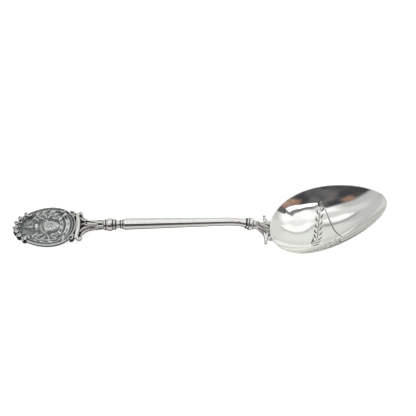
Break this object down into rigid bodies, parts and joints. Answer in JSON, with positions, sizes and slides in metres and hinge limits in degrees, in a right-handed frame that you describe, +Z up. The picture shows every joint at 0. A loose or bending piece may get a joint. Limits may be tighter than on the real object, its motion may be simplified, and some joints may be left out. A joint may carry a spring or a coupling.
{
  "type": "souvenir spoon",
  "caption": "Small ornate teaspoon: egg-shaped polished bowl, fluted heel bracket, round bent stem, turned baluster and an oval medallion finial with a blank shield.",
  "frame": {"origin": "on the table under the middle of the spoon's length, with the spoon lying face up", "axes": "+X from the finial's tip to the bowl's tip, +Y across, +Z up from the table"},
  "size_m": [0.138, 0.0304, 0.0204],
  "materials": {
    "bowl_silver": "mirror-polished silver",
    "stem_silver": "polished silver",
    "turned_silver": "polished silver, dark in the grooves",
    "leaf_silver": "silver with darkened recesses",
    "medallion_silver": "oxidised silver, bright on the high places",
    "relief_silver": "oxidised silver, rubbed bright",
    "dowel_silver": "drawn silver wire"
  },
  "bodies": {
    "root": {"bowl": "bowl_silver", "stem": "stem_silver", "lower_ring": "turned_silver", "lower_knop": "turned_silver", "heel_ring": "turned_silver", "stem_ring": "turned_silver", "hollow_collar": "turned_silver", "front_ring": "turned_silver", "baluster_knop": "turned_silver", "back_ring": "turned_silver", "heel_bracket": "leaf_silver", "heel_beads": "leaf_silver", "leaf_neck": "leaf_silver", "scroll_bracket": "leaf_silver", "medallion_plate": "medallion_silver", "medallion_rim": "medallion_silver", "edge_scrolls": "medallion_silver", "corner_scrolls": "medallion_silver", "shield": "relief_silver", "coronet": "relief_silver", "leaf_spray_left": "relief_silver", "leaf_spray_right": "relief_silver", "inner_ribbon": "relief_silver", "outer_ribbon": "relief_silver", "upper_dowel": "dowel_silver", "lower_dowel": "dowel_silver"}
  },
  "joints": []
}
